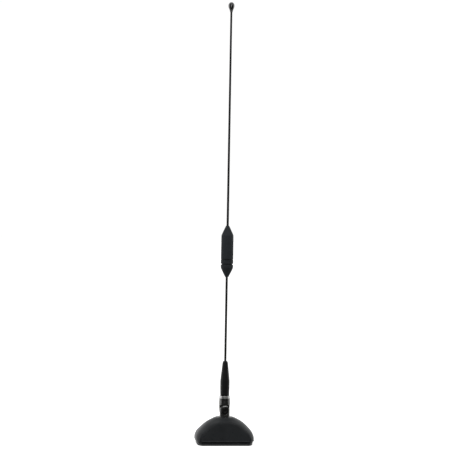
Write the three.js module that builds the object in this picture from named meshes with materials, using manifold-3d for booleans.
// A passive on-glass whip antenna, the outdoor half of a mobile cellular signal booster.
// Millimetres, +Z up, front towards -Y, right towards +X. The origin is the centre of the
// face that sticks to the glass. From the bottom up: a foot with an adhesive pad, a half-lap
// swivel knuckle, and a screw-on whip made of a ferrule, a lower rod, a phasing coil, an
// upper rod and a tip.
import * as THREE from "three";
import { mergeVertices } from "three/addons/utils/BufferGeometryUtils.js";
import Module from "manifold-3d";

const wasm = await Module();
wasm.setup();

// In every table below, bottom and top are heights along Z, and hole is a radius.
const OVERCUT = 1; // how far a cutting tool runs past the face it opens
const FUSE = 0.1; // how far two bodies overlap where they are joined

// ---------------------------------------------------------------- foot dimensions

// Levels of the moulded housing: height, half width, half depth, roundness exponent.
const FOOT_LEVELS = [
  [3.0, 23.3, 17.3, 4.2],
  [4.6, 23.55, 17.0, 4.2],
  [6.2, 23.4, 16.3, 4.0],
  [7.8, 22.9, 15.6, 3.7],
  [9.4, 22.2, 14.9, 3.4],
  [11.0, 21.0, 14.3, 3.0],
  [12.6, 19.5, 13.4, 2.75],
  [14.2, 17.9, 12.4, 2.6],
  [15.9, 16.1, 11.2, 2.45],
  [17.5, 14.0, 9.45, 2.35],
  [18.7, 12.0, 8.0, 2.3],
  [19.8, 9.9, 7.0, 2.25],
  [20.6, 8.4, 6.3, 2.2],
  [21.1, 7.1, 5.8, 2.2],
];
const [RIM_Z, RIM_HALF_X, RIM_HALF_Y, RIM_EXPONENT] = FOOT_LEVELS[0];
const FOOT_TOP = FOOT_LEVELS.at(-1)[0];
const FOOT_POINTS = 40; // points round each level

// The flat front and rear panels pass through these two points.
const FACET_LOW = { z: RIM_Z, y: 15.0 };
const FACET_HIGH = { z: 17.6, y: 9.0 };
const FACET_WEDGE = { bottom: -2, top: 24, length: 60 };

const CAVITY_ROOF = 18.9;
const CAVITY_HEIGHTS = [2.0, 5.0, 7.0, 9.0, 11.0, 13.0, 15.0, 17.0, CAVITY_ROOF];
// The wall goes from its low to its high thickness between two heights, and over the same
// span the cavity is lowered by crownDrop.
const WALL = { low: 2.1, high: 1.5, facet: 2.1, thinFrom: 5, thinTo: 12, crownDrop: 1.6 };

const PAD = { halfX: 22.3, halfY: 14.3, bottom: 0, top: 1.1 };
const PLATE = { halfX: 22.6, halfY: 14.5, bottom: 1.15, top: 2.3 };
const SPIGOT = { inset: 3.1, top: 3.9 }; // insets are from the housing's rim outline
const GASKET = { outerInset: 1.1, innerInset: 2.9, bottom: 2.32, top: 2.98 };
const COUPLING = { halfX: 13, halfY: 9, bottom: 1.2, top: 1.7, corner: 2, cornerSteps: 4 };
const POCKET = { gap: 0.3, top: 1.75 };
const CONTACT_HOLE = 2.8; // radius, through the base plate

const BOSS = { x: 16.2, y: 8.4, radius: 2.7, bottom: 4.0, top: 17, hole: 1.15, holeTop: 10.5 };
const BOSS_SPOTS = [
  ["front_left", -BOSS.x, -BOSS.y],
  ["front_right", BOSS.x, -BOSS.y],
  ["rear_left", -BOSS.x, BOSS.y],
  ["rear_right", BOSS.x, BOSS.y],
];
const COVER_SCREW = {
  radius: 1.0,
  headRadius: 2.1,
  headEdge: 0.15, // height of the head's straight edge
  bottom: 1.3,
  neck: 2.5, // height where the head's cone meets the shank
  top: 10.2,
  pointRadius: 0.3,
  pointLength: 1.2,
};
const CROSS_RECESS = { halfLength: 1.2, halfWidth: 0.25, depth: 0.6 };
const SCREW_GAP = { head: 0.25, shank: 0.2, neck: 0.1 };

const FLANGE = { radius: 5.0, gap: 0.02, top: 21.5 };
const NECK = { radius: 2.9, flat: 2.3, bottom: 18.95, gap: 0.15 };
const FOOT_STUD = { radius: 2.3, bottom: 10.5 };
const NECK_RING = { major: 3.8, minor: 0.42, z: 20.65, grooveHalf: 0.5, grooveFloor: 20.15 };
const STUD_WASHER = { radius: 4.6, hole: 2.5, bottom: 18.15, top: 18.8 };
const STUD_NUT = { flats: 8, hole: 2.42, bottom: 14.4, top: 18.05 };

// Wire coils: radius to the middle of the wire, wire radius, span, turns, steps per turn.
const CONTACT_SPRING = { mean: 1.9, wire: 0.3, bottom: 2.1, top: 10.05, turns: 6, perTurn: 10 };
const WINDING = { mean: 2.65, wire: 0.3, bottom: 151.7, top: 163.3, turns: 8, perTurn: 12 };
const WIRE_SIDES = 5;

// ---------------------------------------------------------------- knuckle dimensions

// Two half-thickness lugs side by side on a pivot along Y.
const PIVOT_Z = 26.2;
const LUG_GAP = 0.35; // each lug's inner face is this far from the middle plane
const LUG_FACE = 4.3; // outer face of either lug
// The oversize plate each lug is cut from, and the block that keeps its half.
const LUG_BLANK = { pastMiddle: 3, halfX: 10, halfY: 5, bottom: 16, top: 36 };
const FRONT_LUG = { halfX: 3.9, radius: 4.3, chamfer: 0.8, turnedRadius: 4.9, bottom: 19.5 };
const REAR_LUG = {
  radius: 4.05,
  turnedRadius: 4.45,
  chamfer: 0.5,
  roundFrom: 0.53 * Math.PI, // where the round end starts, as an angle from +Z
  blankRise: 2, // the blank and the finished lug run this far up into the shoulder
  rise: 0.4,
};
const SHOULDER = {
  radius: 4.43,
  topRadius: 4.34,
  bottom: 30.85,
  top: 36.0,
  lowChamfer: 0.25,
  topChamfer: 0.15,
  taperFrom: 32.4,
  taperMiddle: [4.35, 33.2], // radius, height
  taperTo: 34.1,
};
const WHIP_STUD = { radius: 2.0, top: 45.0, chamfer: 0.5 };
const LOCK_RING = {
  radius: 4.4,
  hole: 2.2,
  bottom: 36.04,
  top: 38.0,
  lowChamfer: 0.2,
  topChamfer: 0.3,
};

// Parts on the pivot: front, rear, end and floor are distances along Y.
const PIVOT_HOLE = 1.6;
const PIVOT_REACH = 8; // how far the pivot's cutting tools run either way
const PIVOT_SCREW = {
  radius: 1.42,
  headRadius: 2.75,
  headFront: -4.22,
  headRear: -2.3,
  headChamfer: 0.3,
  end: 4.05,
  endChamfer: 0.4,
  socketFlats: 2.5,
  socketDepth: 1.1,
};
const COUNTERBORE = { radius: 2.95, floor: -1.75 };
const SPRING_WASHER = { radius: 2.65, hole: 1.7, front: -2.25, rear: -1.8 };
const FRICTION_DISC = { radius: 3.5, half: 0.25 };
const PIVOT_NUT = { flats: 5.5, hole: 1.5, bottom: 2.2, top: 4.0 }; // before it is laid along Y
const NUT_POCKET = { flats: 5.75, floor: 2.14 };

// ---------------------------------------------------------------- whip dimensions

const SEAL = { inner: 2.85, outer: 3.5, edge: 0.12, bottom: 38.05, top: 38.55 };

// Radius, height.
const FERRULE_PROFILE = [
  [3.58, 38.6],
  [3.66, 40.2],
  [3.73, 41.6],
  [3.73, 50.1],
  [2.95, 57.3],
  [2.18, 64.2],
  [1.9, 65.3],
  [1.3, 65.9],
];
const FERRULE_BORE = { radius: 2.15, top: 46.2 };
const ROD_GRIP = { radius: 1.03, floor: 51.5 };
const LOWER_ROD = { radius: 0.93, bottom: 51.8, top: 146.8 };
const UPPER_ROD = { bottomRadius: 0.94, bottom: 166.1, topRadius: 0.8, top: 350.7 };

// Outside of the coil's cap and housing. Pairs are radius, height.
const COIL = {
  radius: 4.95,
  noseRadius: 1.3,
  bottom: 133.4,
  lowNose: [
    [3.1, 136.9],
    [4.3, 139.3],
  ],
  lowShoulder: 141.0,
  seam: 147.5,
  seamHalf: 0.4,
  taperFrom: 157.0,
  taperRadius: 4.85,
  taperBelowShoulder: 1,
  shoulderChamfer: 0.15,
  highShoulder: 167.2,
  highNose: [3.3, 170.4],
  top: 174.6,
};
const COIL_GROOVE = { z: 143.7, half: 0.5, radius: 4.2, chamfer: 0.15 };
const CAP_PLUG = { radius: 3.75, top: 151.0, bore: 2.6, boreFloor: 140.0 };
const COIL_BORE = { radius: 3.9, top: 166.0, throat: 2.95, throatTop: 168.6 };
const SEAM_RING = { inner: 3.82, outer: 4.8, half: 0.36 };
const ROD_HOLE = 1.05;
const LOWER_INSERT = { radius: 2.4, bottom: 140.2, top: 149.8, holeTop: 147.0 };
const UPPER_INSERT = { radius: 2.75, bottom: 164.2, top: 168.4, holeFloor: 165.8 };
const FORMER = { radius: 2.2, bottom: 150.0, top: 164.0 };

// Radius, height, from axis to axis.
const TIP_PROFILE = [
  [0, 346.3],
  [1.08, 346.3],
  [1.14, 346.9],
  [1.32, 347.7],
  [1.6, 348.5],
  [1.95, 349.3],
  [2.3, 350.1],
  [2.46, 350.9],
  [2.5, 351.6],
  [2.42, 352.3],
  [2.12, 353.1],
  [1.62, 353.8],
  [0.9, 354.3],
  [0, 354.5],
];
const TIP_BORE = { radius: 0.9, top: 351.2 };

// ---------------------------------------------------------------- solids

// A geometry with only its positions, shared vertices merged, and its faces turned outwards.
function closed(geometry) {
  const loose = geometry.index ? geometry.toNonIndexed() : geometry.clone();
  loose.deleteAttribute("normal");
  loose.deleteAttribute("uv");
  const merged = mergeVertices(loose, 1e-4);
  const faces = [];
  let volume = 0; // six times the enclosed volume
  for (let i = 0; i < merged.index.count; i += 3) {
    const corners = [0, 1, 2].map((k) => merged.index.getX(i + k));
    if (new Set(corners).size < 3) continue;
    const [first, second, third] = corners.map((corner) =>
      new THREE.Vector3().fromBufferAttribute(merged.attributes.position, corner),
    );
    volume += first.dot(second.cross(third));
    faces.push(...corners);
  }
  if (volume < 0)
    for (let i = 0; i < faces.length; i += 3)
      [faces[i + 1], faces[i + 2]] = [faces[i + 2], faces[i + 1]];
  merged.setIndex(faces);
  return merged;
}

// A manifold from a geometry. A manifold passes through unchanged.
function solid(shape) {
  if (!shape.isBufferGeometry) return shape;
  const geometry = closed(shape);
  return new wasm.Manifold(
    new wasm.Mesh({
      numProp: 3,
      vertProperties: new Float32Array(geometry.attributes.position.array),
      triVerts: new Uint32Array(geometry.index.array),
    }),
  );
}

function geometryOf(manifold) {
  const { numVert, numProp, vertProperties, triVerts } = manifold.getMesh();
  const positions = new Float32Array(numVert * 3);
  for (let i = 0; i < numVert; i++)
    positions.set(vertProperties.subarray(i * numProp, i * numProp + 3), i * 3);
  const geometry = new THREE.BufferGeometry();
  geometry.setAttribute("position", new THREE.BufferAttribute(positions, 3));
  geometry.setIndex(new THREE.BufferAttribute(new Uint32Array(triVerts), 1));
  geometry.computeVertexNormals();
  return geometry;
}

const joined = (first, ...rest) =>
  rest.reduce((all, next) => all.add(solid(next)), solid(first));
const cutBy = (from, ...tools) =>
  tools.reduce((left, tool) => left.subtract(solid(tool)), solid(from));
const common = (one, other) => solid(one).intersect(solid(other));

// ---------------------------------------------------------------- shape helpers

// A body of revolution about Z from [radius, height] pairs.
function turned(profile, segments = 28) {
  const points = profile.map(([radius, z]) => new THREE.Vector2(radius, z));
  return new THREE.LatheGeometry(points, segments).rotateX(Math.PI / 2);
}

// A turned body whose flat ends reach in to the axis.
const spindle = (profile, segments) =>
  turned([[0, profile[0][1]], ...profile, [0, profile.at(-1)[1]]], segments);

// A turned body whose profile closes on itself.
const hoop = (profile, segments) => turned([...profile, profile[0]], segments);

const rod = (radius, bottom, top, segments = 24) =>
  spindle([[radius, bottom], [radius, top]], segments);

const ring = (inner, outer, bottom, top, segments) =>
  hoop([[inner, bottom], [outer, bottom], [outer, top], [inner, top]], segments);

// Lays a body made about Z down along Y, with its height measured towards +Y from the pivot.
const alongY = (geometry) => geometry.rotateX(-Math.PI / 2).translate(0, 0, PIVOT_Z);

const box = (halfX, halfY, bottom, top) =>
  new THREE.BoxGeometry(2 * halfX, 2 * halfY, top - bottom).translate(0, 0, (bottom + top) / 2);

function outlineShape([start, ...rest]) {
  const shape = new THREE.Shape();
  shape.moveTo(...start);
  for (const point of rest) shape.lineTo(...point);
  shape.closePath();
  return shape;
}

const prism = (points, bottom, top) =>
  new THREE.ExtrudeGeometry(outlineShape(points), {
    depth: top - bottom,
    bevelEnabled: false,
  }).translate(0, 0, bottom);

const polygon = (radius, sides) =>
  Array.from({ length: sides }, (_, i) => {
    const angle = (i / sides) * 2 * Math.PI;
    return [radius * Math.cos(angle), radius * Math.sin(angle)];
  });

const hexagon = (flats) => polygon(flats / Math.sqrt(3), 6);

const hexNut = ({ flats, hole, bottom, top }) =>
  cutBy(prism(hexagon(flats), bottom, top), rod(hole, bottom - OVERCUT, top + OVERCUT));

class Helix extends THREE.Curve {
  constructor(radius, bottom, top, turns) {
    super();
    Object.assign(this, { radius, bottom, top, turns });
  }
  getPoint(t, target = new THREE.Vector3()) {
    const angle = t * this.turns * 2 * Math.PI;
    return target.set(
      this.radius * Math.cos(angle),
      this.radius * Math.sin(angle),
      this.bottom + t * (this.top - this.bottom),
    );
  }
}

const wireCoil = ({ mean, wire, bottom, top, turns, perTurn }) =>
  new THREE.ExtrudeGeometry(outlineShape(polygon(wire, WIRE_SIDES)), {
    steps: turns * perTurn,
    bevelEnabled: false,
    extrudePath: new Helix(mean, bottom, top, turns),
  });

// ---------------------------------------------------------------- foot outlines

// A rounded outline |x/halfX|^exponent + |y/halfY|^exponent = 1.
function superellipse(halfX, halfY, exponent) {
  const bulge = (value) => Math.sign(value) * Math.abs(value) ** (2 / exponent);
  return Array.from({ length: FOOT_POINTS }, (_, i) => {
    const angle = ((i + 0.5) / FOOT_POINTS) * 2 * Math.PI;
    return [halfX * bulge(Math.cos(angle)), halfY * bulge(Math.sin(angle))];
  });
}

// The rim's corner shape, cut off flat at the front and rear.
const clippedOutline = (halfX, curveHalfY, flatY) =>
  superellipse(halfX, curveHalfY, RIM_EXPONENT).map(([x, y]) => [
    x,
    THREE.MathUtils.clamp(y, -flatY, flatY),
  ]);

// The outline of the foot's rim, moved inwards.
const rimOutline = (inset) =>
  clippedOutline(RIM_HALF_X - inset, RIM_HALF_Y - inset, FACET_LOW.y - inset);

// The same corner shape, at another size.
const sizedOutline = (halfX, halfY) =>
  clippedOutline(halfX, (halfY / FACET_LOW.y) * RIM_HALF_Y, halfY);

const levelOutline = (z, halfX, halfY, exponent) =>
  superellipse(halfX, halfY, exponent).map(([x, y]) => [x, y, z]);

// The housing's half width, half depth and exponent at any height, between the listed levels.
function footAt(height) {
  const z = Math.max(height, RIM_Z);
  const above = FOOT_LEVELS.findIndex((level, i) => i > 0 && level[0] >= z);
  const [low, high] = [FOOT_LEVELS[above - 1], FOOT_LEVELS[above]];
  const t = (z - low[0]) / (high[0] - low[0]);
  return [1, 2, 3].map((column) => THREE.MathUtils.lerp(low[column], high[column], t));
}

// A closed skin over level outlines that all have the same number of points.
function loft(levels) {
  const count = levels[0].length;
  const positions = levels.flat(2);
  const faces = [];
  const edge = (level, i) => [level * count + i, level * count + ((i + 1) % count)];
  for (let level = 0; level + 1 < levels.length; level++)
    for (let i = 0; i < count; i++) {
      const [start, end] = edge(level, i);
      faces.push(start, end, end + count, start, end + count, start + count);
    }
  for (const [level, facesUp] of [[0, false], [levels.length - 1, true]]) {
    const hub = positions.length / 3;
    positions.push(0, 0, levels[level][0][2]);
    for (let i = 0; i < count; i++) {
      const [start, end] = edge(level, i);
      faces.push(...(facesUp ? [hub, start, end] : [hub, end, start]));
    }
  }
  const geometry = new THREE.BufferGeometry();
  geometry.setAttribute("position", new THREE.Float32BufferAttribute(positions, 3));
  geometry.setIndex(faces);
  return geometry;
}

// The wedge between the front and rear panels, moved inwards by inset.
function betweenFacets(inset) {
  const { bottom, top, length } = FACET_WEDGE;
  const slope = (FACET_HIGH.y - FACET_LOW.y) / (FACET_HIGH.z - FACET_LOW.z);
  const halfAt = (z) => FACET_LOW.y + slope * (z - FACET_LOW.z) - inset;
  const side = [
    [-halfAt(bottom), bottom],
    [halfAt(bottom), bottom],
    [halfAt(top), top],
    [-halfAt(top), top],
  ];
  // Drawn in the YZ plane and extruded along X.
  return prism(side, 0, length)
    .rotateX(Math.PI / 2)
    .rotateZ(Math.PI / 2)
    .translate(-length / 2, 0, 0);
}

// ---------------------------------------------------------------- foot pieces

const atBosses = (shape) => BOSS_SPOTS.map(([, x, y]) => solid(shape).translate([x, y, 0]));

const makePad = () => prism(sizedOutline(PAD.halfX, PAD.halfY), PAD.bottom, PAD.top);

// A plate with rounded corners.
function makeCouplingPlate() {
  const { halfX, halfY, corner, cornerSteps, bottom, top } = COUPLING;
  const quarters = [[1, 1], [-1, 1], [-1, -1], [1, -1]];
  const points = quarters.flatMap(([sideX, sideY], quarter) =>
    Array.from({ length: cornerSteps + 1 }, (_, i) => {
      const angle = ((quarter + i / cornerSteps) * Math.PI) / 2;
      return [
        sideX * (halfX - corner) + corner * Math.cos(angle),
        sideY * (halfY - corner) + corner * Math.sin(angle),
      ];
    }),
  );
  return prism(points, bottom, top);
}

function makeBasePlate() {
  const { headRadius, radius, bottom, neck } = COVER_SCREW;
  const screwHole = spindle(
    [
      [headRadius + SCREW_GAP.head, 0],
      [headRadius + SCREW_GAP.head, bottom],
      [radius + SCREW_GAP.shank, neck + SCREW_GAP.neck],
      [radius + SCREW_GAP.shank, SPIGOT.top + OVERCUT],
    ],
    16,
  );
  return cutBy(
    joined(
      prism(sizedOutline(PLATE.halfX, PLATE.halfY), PLATE.bottom, PLATE.top),
      prism(rimOutline(SPIGOT.inset), PLATE.top - FUSE, SPIGOT.top),
    ),
    ...atBosses(screwHole),
    box(COUPLING.halfX + POCKET.gap, COUPLING.halfY + POCKET.gap, 0, POCKET.top),
    rod(CONTACT_HOLE, 0, SPIGOT.top + OVERCUT),
  );
}

const makeGasket = () =>
  cutBy(
    prism(rimOutline(GASKET.outerInset), GASKET.bottom, GASKET.top),
    prism(rimOutline(GASKET.innerInset), GASKET.bottom - OVERCUT, GASKET.top + OVERCUT),
  );

const makeDome = () =>
  common(loft(FOOT_LEVELS.map((level) => levelOutline(...level))), betweenFacets(0));

function makeCavity() {
  const levels = CAVITY_HEIGHTS.map((z) => {
    const t = THREE.MathUtils.smoothstep(z, WALL.thinFrom, WALL.thinTo);
    const inset = THREE.MathUtils.lerp(WALL.low, WALL.high, t);
    const [halfX, halfY, exponent] = footAt(z + WALL.crownDrop * t);
    return levelOutline(z, halfX - inset, halfY - inset, exponent);
  });
  return common(loft(levels), betweenFacets(WALL.facet));
}

// The neck's double-D section.
const neckBody = (grow, bottom, top) =>
  common(
    rod(NECK.radius + grow, bottom, top),
    box(2 * NECK.radius, NECK.flat + grow, bottom - OVERCUT, top + OVERCUT),
  );

function makeHousing() {
  const dome = makeDome();
  const bosses = atBosses(rod(BOSS.radius, BOSS.bottom, BOSS.top, 16));
  const { major, grooveHalf, grooveFloor } = NECK_RING;
  return cutBy(
    joined(cutBy(dome, makeCavity()), ...bosses.map((boss) => common(boss, dome))),
    ...atBosses(rod(BOSS.hole, BOSS.bottom - OVERCUT, BOSS.holeTop, 12)),
    neckBody(NECK.gap, CAVITY_ROOF - OVERCUT, FOOT_TOP + OVERCUT),
    ring(major - grooveHalf, major + grooveHalf, grooveFloor, FOOT_TOP + OVERCUT),
  );
}

// A countersunk screw, head down, with a cross recess.
function makeCoverScrew() {
  const { radius, headRadius, headEdge, bottom, neck, top, pointRadius, pointLength } =
    COVER_SCREW;
  const { halfLength, halfWidth, depth } = CROSS_RECESS;
  const body = spindle(
    [
      [headRadius, bottom],
      [headRadius, bottom + headEdge],
      [radius, neck],
      [radius, top - pointLength],
      [pointRadius, top],
    ],
    16,
  );
  return cutBy(
    body,
    box(halfLength, halfWidth, bottom - depth, bottom + depth),
    box(halfWidth, halfLength, bottom - depth, bottom + depth),
  );
}

function makeNeckRing() {
  const { major, minor, z } = NECK_RING;
  return hoop(polygon(minor, 8).map(([across, up]) => [major + across, z + up]));
}

const makeStudWasher = () =>
  ring(STUD_WASHER.hole, STUD_WASHER.radius, STUD_WASHER.bottom, STUD_WASHER.top);

// ---------------------------------------------------------------- knuckle pieces

// An outline in the XZ plane extruded along Y, with a chamfer on both end faces.
const lugPlate = (points, front, rear, chamfer) =>
  new THREE.ExtrudeGeometry(outlineShape(points), {
    depth: rear - front - 2 * chamfer,
    bevelEnabled: true,
    bevelThickness: chamfer,
    bevelSize: chamfer,
    bevelOffset: -chamfer,
    bevelSegments: 1,
  })
    .rotateX(Math.PI / 2)
    .translate(0, rear - chamfer, 0);

// A lug on one side of the middle plane, -1 for front and 1 for rear, rounded by a cylinder.
function makeLug(side, outline, chamfer, cylinder) {
  const { pastMiddle, halfX, halfY, bottom, top } = LUG_BLANK;
  const [front, rear] = side < 0 ? [-LUG_FACE, pastMiddle] : [-pastMiddle, LUG_FACE];
  const half = box(halfX, halfY, bottom, top).translate(0, side * (halfY + LUG_GAP), 0);
  return common(lugPlate(outline, front, rear, chamfer), common(cylinder, half));
}

// Points about the pivot in the XZ plane, with angles measured from +Z towards +X.
const arc = (radius, from, to, steps) =>
  Array.from({ length: steps + 1 }, (_, i) => {
    const angle = THREE.MathUtils.lerp(from, to, i / steps);
    return [radius * Math.sin(angle), PIVOT_Z + radius * Math.cos(angle)];
  });

const pivotHole = () => alongY(rod(PIVOT_HOLE, -PIVOT_REACH, PIVOT_REACH));

// Front lug, flange, neck and the stud that holds them to the housing.
function makeSwivelBase() {
  const { halfX, radius, chamfer, turnedRadius, bottom } = FRONT_LUG;
  const side = Math.asin(halfX / radius);
  const outline = [[-halfX, bottom], ...arc(radius, -side, side, 20), [halfX, bottom]];
  const cylinder = rod(turnedRadius, FLANGE.top - FUSE, LUG_BLANK.top, 40);
  return cutBy(
    joined(
      makeLug(-1, outline, chamfer, cylinder),
      rod(FLANGE.radius, FOOT_TOP + FLANGE.gap, FLANGE.top, 40),
      neckBody(0, NECK.bottom, FOOT_TOP + FUSE),
      rod(FOOT_STUD.radius, FOOT_STUD.bottom, NECK.bottom + FUSE),
    ),
    pivotHole(),
    alongY(rod(COUNTERBORE.radius, -PIVOT_REACH, COUNTERBORE.floor, 32)),
  );
}

function makeRearLug() {
  const { radius, turnedRadius, chamfer, roundFrom, blankRise, rise } = REAR_LUG;
  // The lug's sides run straight from its round end out to the shoulder's width.
  const outline = [
    ...arc(radius, roundFrom, 2 * Math.PI - roundFrom, 24),
    [-SHOULDER.radius, SHOULDER.bottom],
    [-SHOULDER.radius, SHOULDER.bottom + blankRise],
    [SHOULDER.radius, SHOULDER.bottom + blankRise],
    [SHOULDER.radius, SHOULDER.bottom],
  ];
  const cylinder = rod(turnedRadius, LUG_BLANK.bottom, SHOULDER.bottom + rise, 40);
  return makeLug(1, outline, chamfer, cylinder);
}

// The round shoulder and the stud that the whip screws onto.
function makeShoulder() {
  const { radius, topRadius, bottom, top, lowChamfer, topChamfer } = SHOULDER;
  return spindle(
    [
      [radius - lowChamfer, bottom],
      [radius, bottom + lowChamfer],
      [radius, SHOULDER.taperFrom],
      SHOULDER.taperMiddle,
      [topRadius, SHOULDER.taperTo],
      [topRadius, top - topChamfer],
      [topRadius - topChamfer, top],
      [WHIP_STUD.radius, top],
      [WHIP_STUD.radius, WHIP_STUD.top - WHIP_STUD.chamfer],
      [WHIP_STUD.radius - WHIP_STUD.chamfer, WHIP_STUD.top],
    ],
    40,
  );
}

const makeSwivelArm = () =>
  cutBy(
    joined(makeRearLug(), makeShoulder()),
    pivotHole(),
    alongY(prism(hexagon(NUT_POCKET.flats), NUT_POCKET.floor, PIVOT_REACH)),
  );

function makePivotScrew() {
  const { radius, headRadius, headFront, headRear, headChamfer, end, endChamfer } = PIVOT_SCREW;
  const { socketFlats, socketDepth } = PIVOT_SCREW;
  const body = spindle([
    [headRadius - headChamfer, headFront],
    [headRadius, headFront + headChamfer],
    [headRadius, headRear],
    [radius, headRear],
    [radius, end - endChamfer],
    [radius - endChamfer, end],
  ]);
  const socket = prism(hexagon(socketFlats), headFront - OVERCUT, headFront + socketDepth);
  return alongY(geometryOf(cutBy(body, socket)));
}

const makePivotNut = () => alongY(geometryOf(hexNut(PIVOT_NUT)));

function makeSpringWasher() {
  const { hole, radius, front, rear } = SPRING_WASHER;
  return alongY(ring(hole, radius, front, rear, 24));
}

const makeFrictionDisc = () =>
  alongY(ring(PIVOT_HOLE, FRICTION_DISC.radius, -FRICTION_DISC.half, FRICTION_DISC.half));

function makeLockRing() {
  const { radius, hole, bottom, top, lowChamfer, topChamfer } = LOCK_RING;
  return hoop(
    [
      [hole, bottom],
      [radius - lowChamfer, bottom],
      [radius, bottom + lowChamfer],
      [radius, top - topChamfer],
      [radius - topChamfer, top],
      [hole, top],
    ],
    40,
  );
}

// ---------------------------------------------------------------- whip pieces

function makeFerruleSeal() {
  const { inner, outer, edge, bottom, top } = SEAL;
  return hoop([
    [inner, bottom],
    [outer - edge, bottom],
    [outer, (bottom + top) / 2],
    [outer - edge, top],
    [inner, top],
  ]);
}

function makeFerrule() {
  const bottom = FERRULE_PROFILE[0][1];
  const top = FERRULE_PROFILE.at(-1)[1];
  return cutBy(
    spindle(FERRULE_PROFILE, 32),
    rod(FERRULE_BORE.radius, bottom - OVERCUT, FERRULE_BORE.top),
    rod(ROD_GRIP.radius, ROD_GRIP.floor, top + OVERCUT),
  );
}

const makeLowerWhip = () => rod(LOWER_ROD.radius, LOWER_ROD.bottom, LOWER_ROD.top, 16);

function makeUpperWhip() {
  const { bottomRadius, bottom, topRadius, top } = UPPER_ROD;
  return spindle([[bottomRadius, bottom], [topRadius, top]], 16);
}

// Nose, grooved collar and the plug that enters the coil housing.
function makeCoilCap() {
  const { radius, noseRadius, bottom, lowNose, lowShoulder, seam, seamHalf } = COIL;
  const { z: groove, half, radius: grooveRadius, chamfer } = COIL_GROOVE;
  return cutBy(
    spindle(
      [
        [noseRadius, bottom],
        ...lowNose,
        [radius, lowShoulder],
        [radius, groove - half],
        [grooveRadius, groove - half + chamfer],
        [grooveRadius, groove + half - chamfer],
        [radius, groove + half],
        [radius, seam - seamHalf],
        [CAP_PLUG.radius, seam - seamHalf],
        [CAP_PLUG.radius, CAP_PLUG.top],
      ],
      36,
    ),
    rod(CAP_PLUG.bore, CAP_PLUG.boreFloor, CAP_PLUG.top + OVERCUT),
    rod(ROD_HOLE, bottom - OVERCUT, CAP_PLUG.boreFloor + OVERCUT),
  );
}

function makeCoilHousing() {
  const { radius, noseRadius, taperRadius, highShoulder, top } = COIL;
  const bottom = COIL.seam + COIL.seamHalf;
  return cutBy(
    spindle(
      [
        [radius, bottom],
        [radius, COIL.taperFrom],
        [taperRadius, highShoulder - COIL.taperBelowShoulder],
        [taperRadius - COIL.shoulderChamfer, highShoulder],
        COIL.highNose,
        [noseRadius, top],
      ],
      36,
    ),
    rod(COIL_BORE.radius, bottom - OVERCUT, COIL_BORE.top),
    rod(COIL_BORE.throat, COIL_BORE.top - OVERCUT, COIL_BORE.throatTop),
    rod(ROD_HOLE, COIL_BORE.throatTop - OVERCUT, top + OVERCUT),
  );
}

function makeSeamRing() {
  const { inner, outer, half } = SEAM_RING;
  return ring(inner, outer, COIL.seam - half, COIL.seam + half);
}

function makeLowerInsert() {
  const { radius, bottom, top, holeTop } = LOWER_INSERT;
  return cutBy(rod(radius, bottom, top), rod(ROD_HOLE, bottom - OVERCUT, holeTop));
}

function makeUpperInsert() {
  const { radius, bottom, top, holeFloor } = UPPER_INSERT;
  return cutBy(rod(radius, bottom, top), rod(ROD_HOLE, holeFloor, top + OVERCUT));
}

const makeFormer = () => rod(FORMER.radius, FORMER.bottom, FORMER.top);

const makeTip = () =>
  cutBy(
    turned(TIP_PROFILE, 24),
    rod(TIP_BORE.radius, TIP_PROFILE[0][1] - OVERCUT, TIP_BORE.top, 12),
  );

// ---------------------------------------------------------------- materials

const finish = (settings) => () => new THREE.MeshStandardMaterial(settings);

const charcoalPlastic = finish({ color: 0x2a2c2f, roughness: 0.55, metalness: 0 });
const blackPlastic = finish({ color: 0x232527, roughness: 0.5, metalness: 0 });
const blackRubber = finish({ color: 0x161616, roughness: 0.85, metalness: 0 });
const padFoam = finish({ color: 0x3a3b3b, roughness: 0.9, metalness: 0 });
const blackChrome = finish({ color: 0x2c2c2b, roughness: 0.25, metalness: 0.9 });
const nickel = finish({ color: 0x9a9a98, roughness: 0.3, metalness: 1 });
const blackCoat = finish({ color: 0x1e1e1f, roughness: 0.4, metalness: 0.2 });
const steel = finish({ color: 0x8b8d8f, roughness: 0.35, metalness: 1 });
const brass = finish({ color: 0xb08d4a, roughness: 0.35, metalness: 1 });
const copper = finish({ color: 0xa85c32, roughness: 0.35, metalness: 1 });
const glassFibre = finish({ color: 0xb9b48f, roughness: 0.6, metalness: 0 });

// ---------------------------------------------------------------- assembly

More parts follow.
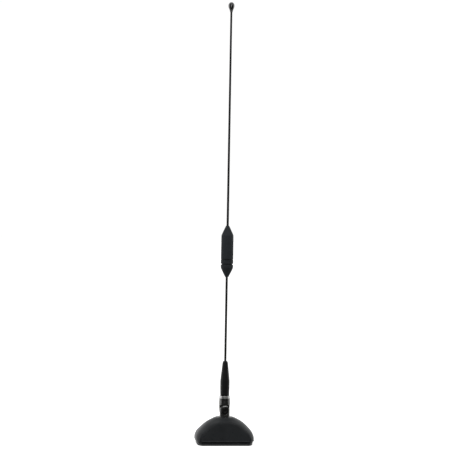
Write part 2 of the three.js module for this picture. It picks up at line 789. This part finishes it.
// A group of named meshes from rows of name, shape and material.
function assemble(rows) {
  const group = new THREE.Group();
  for (const [name, shape, material] of rows) {
    const geometry = shape.isBufferGeometry ? shape : geometryOf(shape);
    const mesh = new THREE.Mesh(geometry, material());
    mesh.name = name;
    group.add(mesh);
  }
  return group;
}

const coverScrews = atBosses(makeCoverScrew());

const foot = assemble([
  ["adhesive_pad", makePad(), padFoam],
  ["coupling_plate", makeCouplingPlate(), brass],
  ["base_plate", makeBasePlate(), charcoalPlastic],
  ["base_gasket", makeGasket(), blackRubber],
  ["base_housing", makeHousing(), charcoalPlastic],
  ...BOSS_SPOTS.map(([spot], i) => ["cover_screw_" + spot, coverScrews[i], steel]),
  ["swivel_base", makeSwivelBase(), blackChrome],
  ["neck_o_ring", makeNeckRing(), blackRubber],
  ["stud_washer", makeStudWasher(), steel],
  ["stud_nut", hexNut(STUD_NUT), steel],
  ["contact_spring", wireCoil(CONTACT_SPRING), brass],
  ["spring_washer", makeSpringWasher(), steel],
  ["friction_disc", makeFrictionDisc(), blackRubber],
]);

const arm = assemble([
  ["swivel_arm", makeSwivelArm(), blackChrome],
  ["pivot_screw", makePivotScrew(), blackChrome],
  ["pivot_nut", makePivotNut(), blackChrome],
  ["lock_ring", makeLockRing(), nickel],
]);

const whip = assemble([
  ["ferrule_o_ring", makeFerruleSeal(), blackRubber],
  ["whip_ferrule", makeFerrule(), blackCoat],
  ["lower_whip", makeLowerWhip(), blackCoat],
  ["coil_lower_cap", makeCoilCap(), blackPlastic],
  ["coil_seal_ring", makeSeamRing(), blackRubber],
  ["coil_housing", makeCoilHousing(), blackPlastic],
  ["coil_lower_insert", makeLowerInsert(), brass],
  ["coil_upper_insert", makeUpperInsert(), brass],
  ["coil_former", makeFormer(), glassFibre],
  ["coil_winding", wireCoil(WINDING), copper],
  ["upper_whip", makeUpperWhip(), blackCoat],
  ["tip_ball", makeTip(), blackPlastic],
]);

const antenna = new THREE.Group();
antenna.add(foot, arm, whip);

export default antenna;
